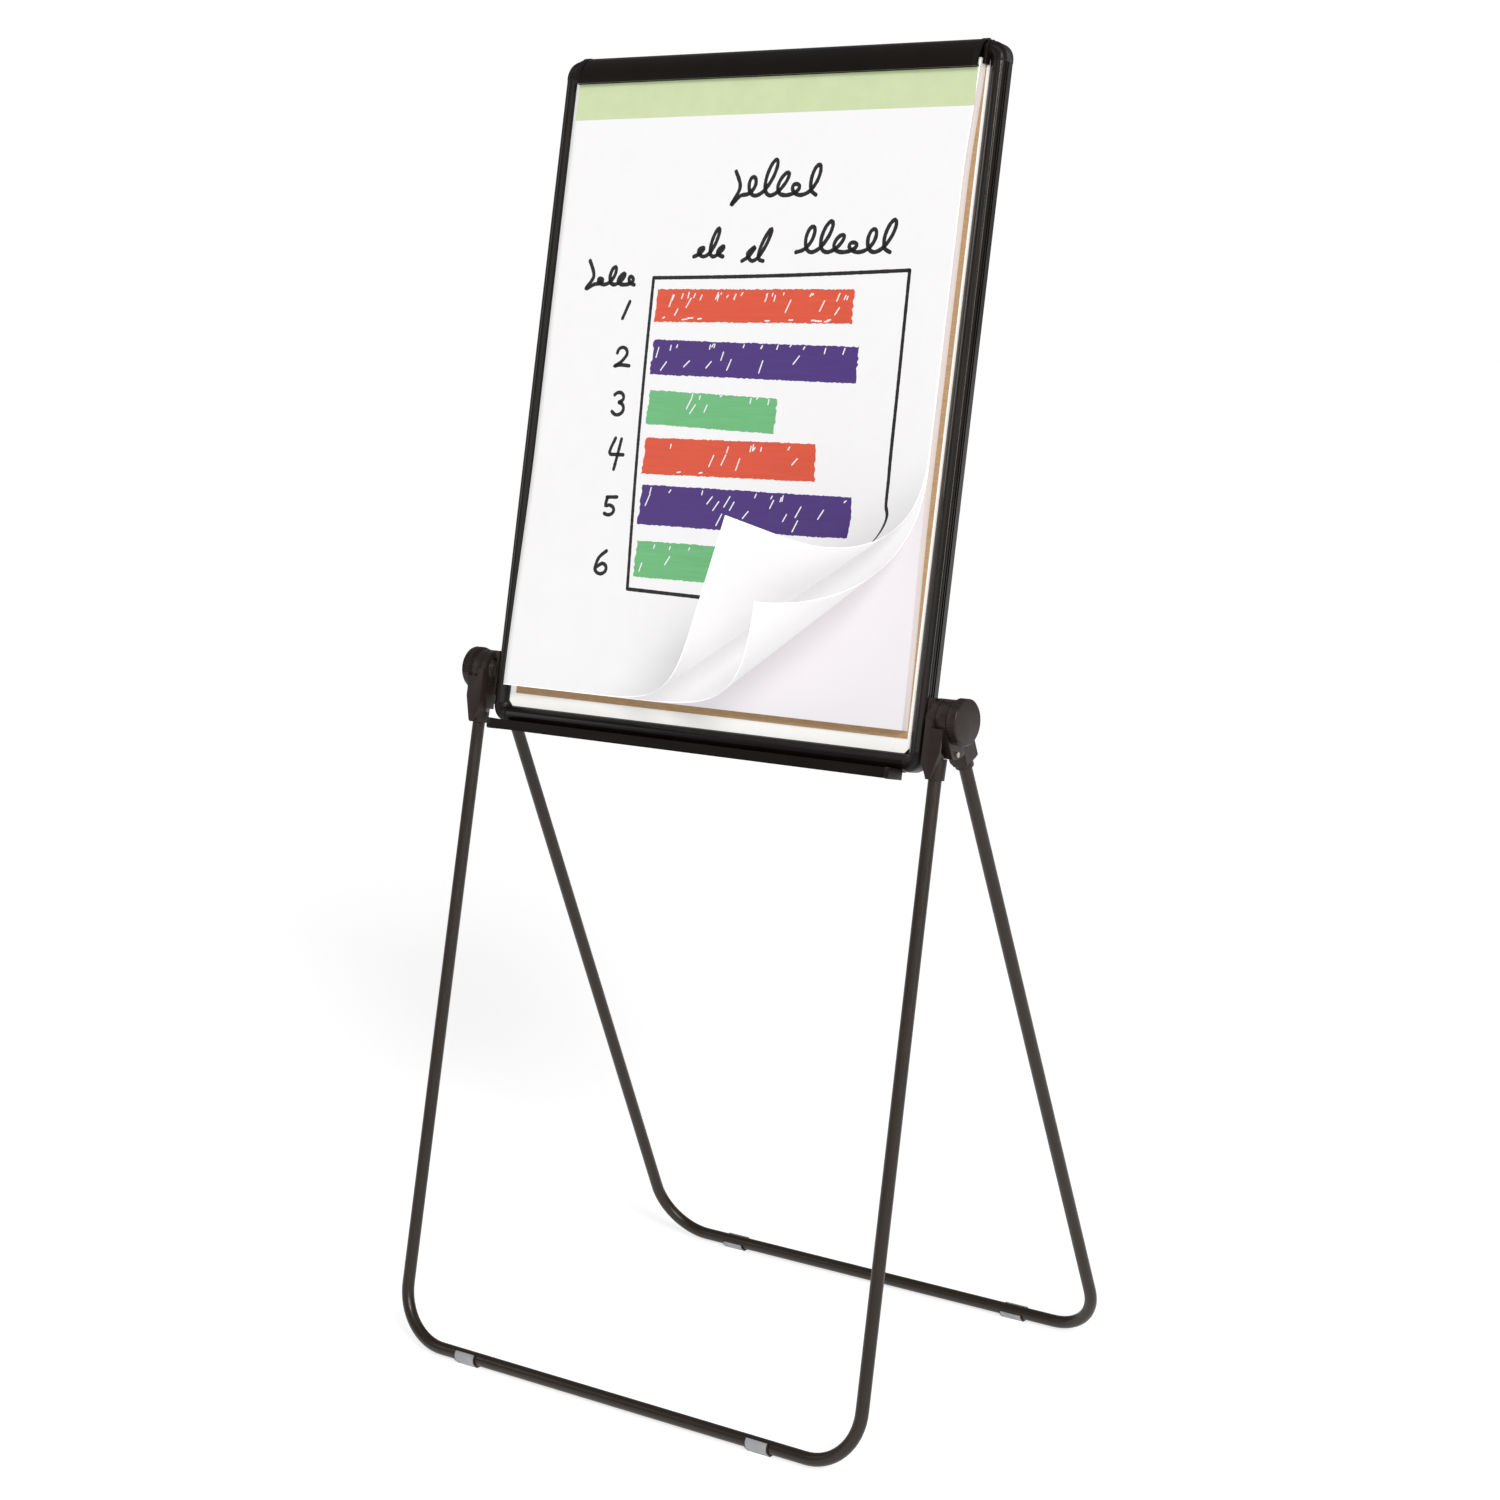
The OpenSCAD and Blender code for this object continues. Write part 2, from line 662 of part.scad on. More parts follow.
// A sheet of paper y0 off the panel's back, with its lower right corner rolled up.
module sheet(y0, roll) {
    // rows and columns crowd towards the rolled corner
    cols = 16;
    rows = 20;
    xs = [for (i = [0:cols]) -pad_w / 2 + pad_w * (1 - pow(1 - i / cols, 1.25))];
    zs = [for (j = [0:rows]) pad_z0 + (pad_h - 2) * pow(j / rows, 1.6)];
    points = [for (layer = [0, sheet_t], j = [0:rows], i = [0:cols])
        let (p = rolled(xs[i], zs[j], roll), q = rolled(xs[i] + 0.1, zs[j], roll) - p,
            r = rolled(xs[i], zs[j] + 0.1, roll) - p, n = cross(q, r) / norm(cross(q, r)))
        [p[0] + n[0] * layer, -y0 - p[2] - n[2] * layer, p[1] + n[1] * layer]];
    n1 = (cols + 1) * (rows + 1);
    function at(layer, i, j) = layer * n1 + j * (cols + 1) + i;
    // two triangles on each quad a, b, c, d
    function quad(a, b, c, d) = [[a, b, c], [a, c, d]];
    faces = [
        for (i = [0:cols - 1], j = [0:rows - 1])
            each quad(at(0, i, j), at(0, i + 1, j), at(0, i + 1, j + 1), at(0, i, j + 1)),
        for (i = [0:cols - 1], j = [0:rows - 1])
            each quad(at(1, i, j), at(1, i, j + 1), at(1, i + 1, j + 1), at(1, i + 1, j)),
        for (i = [0:cols - 1]) each quad(at(0, i, 0), at(1, i, 0), at(1, i + 1, 0), at(0, i + 1, 0)),
        for (i = [0:cols - 1])
            each quad(at(0, i, rows), at(0, i + 1, rows), at(1, i + 1, rows), at(1, i, rows)),
        for (j = [0:rows - 1]) each quad(at(0, 0, j), at(0, 0, j + 1), at(1, 0, j + 1), at(1, 0, j)),
        for (j = [0:rows - 1])
            each quad(at(0, cols, j), at(1, cols, j), at(1, cols, j + 1), at(0, cols, j + 1))];
    color([0.96, 0.96, 0.96]) polyhedron(points, faces);
}

// ---- Nodes ----

in_leg(-front_angle)  // front_leg_tube
    translate([0, -tube_offset, 0]) leg_tube(front_len);
in_leg(-front_angle) on_side(-1) front_socket();  // front_socket_left
in_leg(-front_angle) front_socket();  // front_socket_right
foot(front_feet_x[0], hinge_y - front_y + foot_r, -1);  // front_foot_left
foot(front_feet_x[1], hinge_y - front_y + foot_r, -1);  // front_foot_right
in_leg(-front_angle)  // front_rivets
    color(steel) rivets(-tube_offset, 0);
in_leg(rear_angle)  // rear_leg_tube
    translate([0, tube_offset, 0]) leg_tube(rear_len);
in_leg(rear_angle) on_side(-1) rear_socket();  // rear_socket_left
in_leg(rear_angle) rear_socket();  // rear_socket_right
foot(rear_feet_x[0], hinge_y + rear_y - foot_r, 1);  // rear_foot_left
foot(rear_feet_x[1], hinge_y + rear_y - foot_r, 1);  // rear_foot_right
in_leg(rear_angle) color(steel) rivets(tube_offset, 0);  // rear_rivets
in_leg(rear_angle) stop_screws();
in_leg(rear_angle) washers(lap_x + run_gap, lap_x2);  // knuckle_washers

on_board() on_side(-1) side_rail();  // left_rail
on_board() side_rail();  // right_rail
on_board() top_rail();
on_board() bottom_rail();
on_board() on_side(-1) corner_cap(1, 0);  // cap_top_left
on_board() corner_cap(1, 0);  // cap_top_right
on_board() on_side(-1) corner_cap(-1, cap_leg);  // cap_bottom_left
on_board() corner_cap(-1, cap_leg);  // cap_bottom_right
on_board()  // board_face
    color([0.93, 0.94, 0.93]) panel_layer(-panel_t, skin - panel_t);
on_board()  // board_core
    color([0.65, 0.52, 0.38]) panel_layer(skin - panel_t, -skin);
on_board()  // board_back
    color([0.60, 0.61, 0.62]) panel_layer(-skin, 0);
on_board() on_side(-1) bracket();  // bracket_left
on_board() bracket();  // bracket_right
on_board()
    color(steel) for (side = [-1, 1]) on_side(side) bracket_screws(0);
on_board() on_side(-1) pivot_bolt();  // pivot_bolt_left
on_board() pivot_bolt();  // pivot_bolt_right
on_board() washers(boss_x, inner_x);  // boss_washers
on_board() pen_tray();
on_board() on_side(-1) tray_plug();  // tray_plug_left
on_board() tray_plug();  // tray_plug_right
on_board() color(steel) tray_screws(0);
on_board() on_side(-1) clamp_block();  // clamp_block_left
on_board() clamp_block();  // clamp_block_right
on_board() clamp_rod();
on_board() clamp_springs();

on_board()  // pad_backing
    translate([backing_x, 0, 0])
    color([0.66, 0.53, 0.38]) slab(backing_w, pad_z0 - 10, pad_z0 + pad_h, backing_y, 1);
on_board()  // pad_pages
    color([0.93, 0.92, 0.90]) slab(pad_w, pad_z0, pad_z0 + pad_h, pages_y, pages_t);
on_board() pad_binding();
on_board() sheet(sheet2_y, second_roll);  // second_sheet
on_board() sheet(sheet1_y, front_roll);  // front_sheet
on_board() clamp_bar();
on_board() clamp_grip();
on_board() on_side(-1) clamp_trim();  // clamp_trim_left
on_board() clamp_trim();  // clamp_trim_right

on_board() on_side(-1) knob(80);  // knob_left
on_board() on_side(-1) knob_insert();  // knob_insert_left
on_board() knob(35);  // knob_right
on_board() knob_insert();  // knob_insert_right
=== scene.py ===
"""Looks of the flipchart easel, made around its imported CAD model."""

import json
import math
import random

import bmesh
import bpy
from mathutils import Matrix, Vector


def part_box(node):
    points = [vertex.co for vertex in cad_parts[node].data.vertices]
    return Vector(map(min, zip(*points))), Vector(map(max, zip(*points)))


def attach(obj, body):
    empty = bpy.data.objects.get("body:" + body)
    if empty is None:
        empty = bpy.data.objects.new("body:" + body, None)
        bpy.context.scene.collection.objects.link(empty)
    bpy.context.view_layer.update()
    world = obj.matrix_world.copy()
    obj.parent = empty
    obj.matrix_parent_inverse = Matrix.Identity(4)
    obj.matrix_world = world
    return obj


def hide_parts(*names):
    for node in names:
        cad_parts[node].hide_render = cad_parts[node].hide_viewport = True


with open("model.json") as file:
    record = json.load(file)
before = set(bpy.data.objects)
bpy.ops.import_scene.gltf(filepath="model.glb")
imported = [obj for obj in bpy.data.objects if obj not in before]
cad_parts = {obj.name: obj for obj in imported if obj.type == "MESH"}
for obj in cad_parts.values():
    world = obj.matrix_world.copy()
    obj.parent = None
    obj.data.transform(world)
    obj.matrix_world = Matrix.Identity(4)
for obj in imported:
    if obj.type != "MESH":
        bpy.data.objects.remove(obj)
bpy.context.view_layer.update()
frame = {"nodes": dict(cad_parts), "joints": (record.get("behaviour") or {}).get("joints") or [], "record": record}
nodes = frame["nodes"]
joints = {joint["name"]: joint for joint in frame["joints"]}

MM = 0.001
SIDES = (("left", -1), ("right", 1))

# ---- The board's own frame: x across, y backwards, z up the board, in metres ----

HINGE = Vector(joints["board_tilt"]["pos_m"])
TILT = -math.radians(joints["board_tilt"]["range_deg"][0])
BOARD = Matrix.Translation(HINGE) @ Matrix.Rotation(-TILT, 4, "X")


def local_box(node, place=BOARD):
    """Lowest and highest corner of a CAD node in the frame of place."""
    back = place.inverted()
    corners = [back @ v.co for v in nodes[node].data.vertices]
    return (
        Vector([min(c[k] for c in corners) for k in range(3)]),
        Vector([max(c[k] for c in corners) for k in range(3)]),
    )


PAGES_LOW, PAGES_HIGH = local_box("pad_pages")
PAD_LEFT = PAGES_LOW.x
PAD_RIGHT = PAGES_HIGH.x
PAD_BOTTOM = PAGES_LOW.z
PAD_TOP = PAGES_HIGH.z
SHEET_T = 0.25 * MM
FRONT_HEIGHT = -PAGES_LOW.y + 0.75 * MM
SECOND_HEIGHT = -PAGES_LOW.y + 0.25 * MM

# Lifted corners: where the lift line crosses the bottom edge, the line's angle, the roll's
# radius there, the cone's half angle and the turn of the roll.
FRONT_ROLL = (-189 * MM, math.radians(35.1), 82.7 * MM, math.radians(1.81), math.radians(140))
SECOND_ROLL = (-123 * MM, math.radians(37.9), 130.8 * MM, math.radians(0.12), math.radians(136))


# ---- Node-based materials ----


def srgb(r, g, b):
    """A colour from 0 to 255 in each channel, as linear RGBA."""
    def linear(c):
        c /= 255
        return c / 12.92 if c <= 0.04045 else ((c + 0.055) / 1.055) ** 2.4

    return (linear(r), linear(g), linear(b), 1)


class Material:
    """A Principled material whose nodes are added by short calls."""

    def __init__(self, name, colour, rough, metallic=0.0, coat=0.0, gloss=0.5):
        self.mat = bpy.data.materials.new(name)
        self.mat.use_nodes = True
        self.tree = self.mat.node_tree
        self.shader = self.tree.nodes["Principled BSDF"]
        self.colour = colour
        self.shader.inputs["Base Color"].default_value = colour
        self.shader.inputs["Roughness"].default_value = rough
        self.shader.inputs["Metallic"].default_value = metallic
        self.shader.inputs["Coat Weight"].default_value = coat
        self.shader.inputs["Coat Roughness"].default_value = 0.08
        self.shader.inputs["Specular IOR Level"].default_value = gloss
        self.coords = self.node("ShaderNodeTexCoord").outputs["Object"]

    def node(self, kind, **inputs):
        made = self.tree.nodes.new(kind)
        for name, value in inputs.items():
            made.inputs[name].default_value = value
        return made

    def link(self, a, b):
        self.tree.links.new(a, b)

    def stretched(self, scale, tilt=0.0):
        """Object coordinates turned about X by tilt, then scaled along each axis."""
        turned = self.node("ShaderNodeVectorRotate", Angle=tilt)
        turned.rotation_type = "X_AXIS"
        self.link(self.coords, turned.inputs["Vector"])
        scaled = self.node("ShaderNodeVectorMath")
        scaled.operation = "MULTIPLY"
        self.link(turned.outputs["Vector"], scaled.inputs[0])
        scaled.inputs[1].default_value = scale
        return scaled.outputs["Vector"]

    def noise(self, scale, detail=3.0, rough=0.5, at=None):
        made = self.node("ShaderNodeTexNoise", Scale=scale, Detail=detail, Roughness=rough)
        self.link(at or self.coords, made.inputs["Vector"])
        return made.outputs["Fac"]

    def ramp(self, factor, stops):
        """A value or colour read off stops of (position, value or colour)."""
        made = self.node("ShaderNodeValToRGB")
        elements = made.color_ramp.elements
        while len(elements) < len(stops):
            elements.new(0.5)
        for element, (place, value) in zip(elements, stops):
            element.position = place
            element.color = value if isinstance(value, tuple) else (value, value, value, 1)
        self.link(factor, made.inputs["Fac"])
        return made.outputs["Color"]

    def vary_colour(self, factor, low, high):
        """Base colour between two multiples of the material's colour."""
        ends = [tuple(c * k for c in self.colour[:3]) + (1,) for k in (low, high)]
        self.link(self.ramp(factor, [(0.3, ends[0]), (0.7, ends[1])]), self.shader.inputs["Base Color"])

    def mixed(self, factor, a, b):
        """Colour a where factor is 0 and colour b where it is 1; a may be another node's output."""
        made = self.node("ShaderNodeMix")
        made.data_type = "RGBA"
        self.link(factor, made.inputs["Factor"])
        for socket, value in ((made.inputs[6], a), (made.inputs[7], b)):
            if isinstance(value, tuple):
                socket.default_value = value
            else:
                self.link(value, socket)
        return made.outputs[2]

    def vary_rough(self, factor, low, high):
        self.link(self.ramp(factor, [(0.3, low), (0.7, high)]), self.shader.inputs["Roughness"])

    def glow(self, colour, strength):
        """Light that the whole surface gives off evenly."""
        self.shader.inputs["Emission Color"].default_value = colour
        self.shader.inputs["Emission Strength"].default_value = strength

    def bump(self, *layers):
        """Stacked bumps, each (height, strength, distance in metres)."""
        normal = None
        for height, strength, distance in layers:
            made = self.node("ShaderNodeBump", Strength=strength, Distance=distance)
            self.link(height, made.inputs["Height"])
            if normal:
                self.link(normal, made.inputs["Normal"])
            normal = made.outputs["Normal"]
        self.link(normal, self.shader.inputs["Normal"])


def satin_paint():
    """Baked paint on the leg tubes, with faint orange peel."""
    m = Material("tube_paint", srgb(36, 26, 17), 0.3, gloss=0.4)
    m.vary_colour(m.noise(9), 0.85, 1.2)
    m.vary_rough(m.noise(60), 0.28, 0.4)
    m.bump((m.noise(700, 2), 0.12, 0.0002))
    return m.mat


def moulded(name, colour, rough, unevenness=0.13):
    """Spark-eroded plastic with a fine grain; unevenness is how far its colour wanders."""
    m = Material(name, colour, rough, gloss=0.22)
    m.vary_colour(m.noise(35, 4), 1 - unevenness, 1 + unevenness)
    m.vary_rough(m.noise(90), rough - 0.06, rough + 0.08)
    m.bump((m.noise(2600, 2, 0.6), 0.22, 0.00012))
    return m.mat


def gloss_extrusion(name, colour, along, rough=0.16, coat=0.25, gloss=0.4):
    """Glossy profile with faint drawing lines; along scales the noise on each axis."""
    m = Material(name, colour, rough, coat=coat, gloss=gloss)
    lines = m.noise(1, 3, 0.6, m.stretched(along, TILT))
    m.vary_rough(lines, rough - 0.03, rough + 0.05)
    m.vary_colour(m.noise(14, 2), 0.85, 1.2)
    m.bump((lines, 0.012, 0.0001), (m.noise(900, 2), 0.012, 0.00008))
    return m.mat


def writing_surface():
    m = Material("board_white", srgb(240, 240, 236), 0.22, coat=0.3)
    # painted light: an even glow on the board, because the strip below the pad, in the pad's shade, should be
    # brighter than these lights make it
    m.glow((1, 1, 0.98, 1), 0.22)
    m.vary_rough(m.noise(22), 0.18, 0.3)
    m.vary_colour(m.noise(5, 2), 0.97, 1.0)
    m.bump((m.noise(260, 2), 0.03, 0.0002))
    return m.mat


def pressed_fibre():
    m = Material("board_fibre", srgb(158, 128, 92), 0.85)
    m.vary_colour(m.noise(420, 5, 0.7), 0.7, 1.25)
    m.bump((m.noise(600, 4, 0.7), 0.5, 0.0004))
    return m.mat


def paper(name, colour, rough=0.62):
    """Uncoated flipchart paper with a soft tooth."""
    m = Material(name, colour, rough)
    m.vary_colour(m.noise(30, 5, 0.6), 0.985, 1.01)
    m.bump((m.noise(1500, 3, 0.6), 0.06, 0.0001), (m.noise(9, 2), 0.05, 0.002))
    # painted light: an even glow that brightens the paper's shaded parts, standing in for light that thin paper
    # lets through
    m.glow((1, 0.98, 0.985, 1), 0.3)
    return m


def page_stack():
    """Paper whose sides show the many pages as thin uneven lines."""
    # painted shade: the stack's paper is a darker, lilac grey than the top page's, standing for the shade under
    # the lifted sheets; the lines on its sides are the pages' own edges
    m = paper("pad_pages", srgb(193, 188, 192))
    lines = m.noise(1, 2, 0.7, m.stretched((1.5, 1700, 1.5), TILT))
    sides = m.ramp(lines, [(0.3, srgb(178, 164, 158)), (0.65, srgb(206, 194, 191))])
    facing = m.node("ShaderNodeVectorMath")
    facing.operation = "DOT_PRODUCT"
    m.link(m.node("ShaderNodeTexCoord").outputs["Normal"], facing.inputs[0])
    facing.inputs[1].default_value = (0, -math.cos(TILT), math.sin(TILT))
    front = m.ramp(facing.outputs["Value"], [(0.5, 0.0), (0.6, 1.0)])
    m.link(m.mixed(front, sides, m.colour), m.shader.inputs["Base Color"])
    return m.mat


def cardboard():
    m = Material("backing_card", srgb(186, 152, 112), 0.85)
    fibres = m.noise(1, 4, 0.7, m.stretched((60, 400, 900)))
    m.vary_colour(fibres, 0.78, 1.2)
    m.bump((m.noise(700, 4, 0.7), 0.35, 0.0003))
    return m.mat


def binding_tape():
    m = Material("binding_tape", srgb(205, 218, 172), 0.6)
    weave = m.noise(1, 3, 0.6, m.stretched((900, 300, 300)))
    m.vary_colour(m.noise(40, 4), 0.97, 1.02)
    m.bump((weave, 0.15, 0.0001))
    return m.mat


def plain_metal(name, colour, rough):
    m = Material(name, colour, rough, metallic=1.0)
    m.vary_rough(m.noise(1, 3, 0.6, m.stretched((90, 900, 900))), rough - 0.08, rough + 0.1)
    m.vary_colour(m.noise(120, 3), 0.9, 1.08)
    return m.mat


def soft_rubber():
    m = Material("grip_rubber", srgb(24, 24, 24), 0.8)
    m.vary_rough(m.noise(200), 0.72, 0.88)
    m.bump((m.noise(1500, 3), 0.3, 0.0002))
    return m.mat


def marker(name, colour):
    """Marker ink, a little uneven where strokes overlap."""
    m = Material(name, colour, 0.5)
    streaks = m.noise(1, 3, 0.6, m.stretched((14, 60, 220)))
    m.vary_colour(streaks, 0.93, 1.05)
    return m.mat


MATERIALS = {
    "tube_paint": satin_paint(),
    "hinge_plastic": moulded("hinge_plastic", srgb(42, 34, 31), 0.36),
    "foot_plastic": moulded("foot_plastic", srgb(156, 156, 158), 0.55),
    "steel": plain_metal("steel", srgb(196, 192, 184), 0.32),
    "rail_gloss": gloss_extrusion("rail_gloss", srgb(22, 17, 12), (500, 500, 4)),
    "cap_plastic": moulded("cap_plastic", srgb(24, 18, 16), 0.32),
    "board_white": writing_surface(),
    "board_fibre": pressed_fibre(),
    "back_sheet": moulded("back_sheet", srgb(150, 152, 154), 0.6, unevenness=0.02),
    "clamp_paint": gloss_extrusion(
        "clamp_paint", srgb(18, 13, 10), (4, 500, 500), rough=0.22, coat=0.05, gloss=0.2
    ),
    "grip_rubber": soft_rubber(),
    "backing_card": cardboard(),
    "paper_white": paper("paper_white", srgb(206, 205, 206)).mat,
    "binding_tape": binding_tape(),
    "insert_brass": plain_metal("insert_brass", srgb(201, 160, 84), 0.3),
}
PAGE_STACK_WITH_PAINTED_SHADE = page_stack()
# painted highlight: pure white paper for the strip along the sheets' cut edges, where light catches them
PAPER_EDGE_HIGHLIGHT = paper("paper_edge_highlight", srgb(255, 255, 255)).mat
DARK_PLASTIC = moulded("dark_plastic", srgb(44, 38, 38), 0.45)
INK_BLACK = marker("ink_black", srgb(20, 17, 22))
INK_RED = marker("ink_red", srgb(220, 84, 56))
INK_PURPLE = marker("ink_purple", srgb(74, 46, 122))
INK_GREEN = marker("ink_green", srgb(110, 185, 124))

for entry in frame["record"]["subparts"]:
    node = nodes[entry["node"]]
    node.data.materials.clear()
    node.data.materials.append(MATERIALS[entry["material_slot"]])
BODY_OF = {
    node: body for body, rows in frame["record"]["behaviour"]["bodies"].items() for node in rows
}
for name in ("top_rail", "bottom_rail", "pen_tray"):
    nodes[name].data.materials[0] = MATERIALS["clamp_paint"]


# ---- Mesh helpers ----


def new_piece(name, verts, faces, material, body="board", smooth=True):
    """A mesh object from points in metres, riding on a body."""
    mesh = bpy.data.meshes.new(name)
    mesh.from_pydata([tuple(v) for v in verts], [], faces)
    mesh.materials.append(material)
    for face in mesh.polygons:
        face.use_smooth = smooth
    piece = bpy.data.objects.new(name, mesh)
    bpy.context.scene.collection.objects.link(piece)
    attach(piece, body)
    return piece


def thicken(piece, thickness):
    """Gives a skin of faces a thickness along its normals, so that it is a closed solid."""
    made = piece.modifiers.new("thickness", "SOLIDIFY")
    made.thickness = thickness
    made.offset = 1
    made.use_even_offset = True


def softened(node, width):
    """A copy of a CAD node with rounded edges, which stands for it."""
    piece = nodes[node].copy()
    piece.data = nodes[node].data.copy()
    piece.name = node + "_soft"
    for key in list(piece.keys()):
        del piece[key]
    piece.parent = None
    bpy.context.scene.collection.objects.link(piece)
    made = bmesh.new()
    made.from_mesh(piece.data)
    bmesh.ops.remove_doubles(made, verts=made.verts, dist=0.01 * MM)
    bmesh.ops.dissolve_limit(made, angle_limit=math.radians(0.5), verts=made.verts, edges=made.edges)
    made.to_mesh(piece.data)
    made.free()
    for face in piece.data.polygons:
        face.use_smooth = True
    bevel = piece.modifiers.new("edges", "BEVEL")
    bevel.width = width
    bevel.segments = 2
    bevel.limit_method = "ANGLE"
    bevel.angle_limit = math.radians(35)
    bevel.harden_normals = True
    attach(piece, BODY_OF[node])
    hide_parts(node)


for side, _ in SIDES:
    for name, width in (
        ("front_socket", 1.6), ("rear_socket", 1.6), ("bracket", 0.8), ("knob", 0.5),
        ("cap_top", 0.8), ("cap_bottom", 0.8), ("tray_plug", 0.9), ("clamp_block", 1.2),
    ):
        softened(f"{name}_{side}", width * MM)


# ---- Feet: ribbed clips with a darker lip at each end ----


def ribbed_foot(node, outwards):
    """A C-shaped clip around the floor bar, open above its inner lip. outwards is the Y
    direction away from the easel's middle."""
    low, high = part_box(node)
    bar_r, rib_r, rib, pitch = 9.05 * MM, 11.0 * MM, 0.45 * MM, 2.4 * MM
    outer_lip, inner_lip, lip_len = math.radians(46), math.radians(-171), 2 * MM
    sole_r, sole_half_width, inset = 12 * MM, 4.5 * MM, 11.4 * MM
    sole_half = math.atan2(sole_half_width, sole_r)
    bar_z = low[2] + sole_r
    bar_y = (high[1] if outwards > 0 else low[1]) - outwards * inset
    length = high[0] - low[0]
    steps, turns = 96, 44
    verts = []
    for i in range(steps + 1):
        x = length * i / steps
        at_end = min(x, length - x) < lip_len
        wave = 0.5 - 0.5 * math.cos(2 * math.pi * (x - lip_len) / pitch)
        for skin in (0, 1):
            for k in range(turns + 1):
                turn = outer_lip + (inner_lip - outer_lip) * k / turns
                from_down = abs(turn + math.pi / 2)
                r = bar_r if skin == 0 else rib_r + (0.2 * MM if at_end else rib * wave * 0.8)
                if skin and from_down < sole_half:
                    r = sole_r / math.cos(from_down)
                verts.append(
                    (low[0] + x, bar_y + outwards * r * math.cos(turn), bar_z + r * math.sin(turn))
                )
    row = 2 * (turns + 1)
    faces = []
    for i in range(steps):
        for k in range(turns):
            a, b = i * row + k, (i + 1) * row + k
            faces.append((a, b, b + 1, a + 1))
            faces.append((a + turns + 1, a + turns + 2, b + turns + 2, b + turns + 1))
        for k in (0, turns):
            a, b = i * row + k, (i + 1) * row + k
            faces.append((a, a + turns + 1, b + turns + 1, b))
    for i in (0, steps):
        for k in range(turns):
            a = i * row + k
            faces.append((a, a + 1, a + turns + 2, a + turns + 1))
    piece = new_piece(node + "_ribs", verts, faces, MATERIALS["foot_plastic"], BODY_OF[node])
    piece.data.materials.append(DARK_PLASTIC)
    for face in piece.data.polygons:
        x = face.center.x - low[0]
        face.material_index = int(min(x, length - x) < lip_len * 0.75)
    tidy = bmesh.new()
    tidy.from_mesh(piece.data)
    bmesh.ops.recalc_face_normals(tidy, faces=tidy.faces)
    tidy.to_mesh(piece.data)
    tidy.free()
    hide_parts(node)


for side, _ in SIDES:
    ribbed_foot(f"front_foot_{side}", -1)
    ribbed_foot(f"rear_foot_{side}", 1)


# ---- Paper with a lifted corner ----


def rolled(x, z, roll):
    """Where a flat sheet's point goes when its lower right corner winds onto a cone."""
    line_x, angle, radius, half_angle, limit = roll
    along = Vector((math.cos(angle), math.sin(angle), 0))
    across = Vector((math.sin(angle), -math.cos(angle), 0))
    apex = Vector((line_x, PAD_BOTTOM, 0)) - along * radius / math.sin(half_angle)
    offset = Vector((x, z, 0)) - apex
    fan = math.atan2(offset.dot(across), offset.dot(along))
    if fan <= 0:
        return Vector((x, z, 0))
    turn = min(fan / math.sin(half_angle), limit)
    rest = fan - turn * math.sin(half_angle)
    up = Vector((0, 0, 1))
    axis = along * math.cos(half_angle) + up * math.sin(half_angle)
    side = -along * math.sin(half_angle) + up * math.cos(half_angle)
    line = (
        axis * math.cos(half_angle)
        - side * math.sin(half_angle) * math.cos(turn)
        + across * math.sin(half_angle) * math.sin(turn)
    )
    tangent = side * math.sin(turn) + across * math.cos(turn)
    return apex + offset.length * (math.cos(rest) * line + math.sin(rest) * tangent)


def smoothstep(value, low, high):
    t = min(1, max(0, (value - low) / (high - low)))
    return t * t * (3 - 2 * t)


def hang(x, z):
    """How far the front sheet's free lower left stands off the pad."""
    stands_off, starts_at, ends_at = 9 * MM, 0.12, 0.34
    left = smoothstep(-x, starts_at, -PAD_LEFT)
    return stands_off * left * (1 - smoothstep(z, PAD_BOTTOM, ends_at))


def bow(x, z):
    """How far the pad's right edge bows inwards between its bottom and its binding."""
    depth, starts_at = 6.5 * MM, 0.29
    full_from, full_to, binding = 0.3, 0.7, 0.87
    up = smoothstep(z, PAD_BOTTOM, full_from) * (1 - smoothstep(z, full_to, binding))
    return depth * smoothstep(x, starts_at, PAD_RIGHT) * up


def sheet_point(x, z, roll, height, lift=0.0, loose=True):
    """A point of a sheet in the row frame, lift off its back along its own normal."""
    step = 0.5 * MM

    def place(px, pz):
        p = rolled(px - bow(px, pz) * smoothstep(pz, 0.18, 0.36), pz, roll)
        return p + Vector((0, 0, hang(px, pz) if loose else 0))

    p = place(x, z)
    normal = (place(x + step, z) - p).cross(place(x, z + step) - p).normalized()
    p = p + normal * lift
    return BOARD @ Vector((p.x, -height - p.z, p.y))


def spread(low, high, count, power):
    """Places from low to high, closer together towards high when power is over 1."""
    return [low + (high - low) * (1 - (1 - i / count) ** power) for i in range(count + 1)]


def curled_sheet(name, node, roll, height, loose):
    """A page with its lifted corner, with a painted highlight: a strip of brighter paper along its cut edges."""
    # rim is the width of the painted highlight strip along the cut edges
    rim = 1.3 * MM
    xs = spread(PAD_LEFT, PAD_RIGHT - rim, 96, 1.25) + [PAD_RIGHT]
    zs = [PAD_BOTTOM] + spread(PAD_TOP - 3 * MM, PAD_BOTTOM + rim, 120, 1.25)[::-1]
    verts = [sheet_point(x, z, roll, height, 0, loose) for z in zs for x in xs]
    cols = len(xs)
    faces = [
        (j * cols + i, j * cols + i + 1, (j + 1) * cols + i + 1, (j + 1) * cols + i)
        for j in range(len(zs) - 1)
        for i in range(cols - 1)
    ]
    piece = new_piece(name, verts, faces, MATERIALS["paper_white"])
    piece.data.materials.append(PAPER_EDGE_HIGHLIGHT)
    # painted highlight: the bottom row and the right column of faces take the brighter edge paper
    for k, face in enumerate(piece.data.polygons):
        row, col = divmod(k, cols - 1)
        if row == 0 or col == cols - 2:
            face.material_index = 1
    thicken(piece, SHEET_T)
    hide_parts(node)


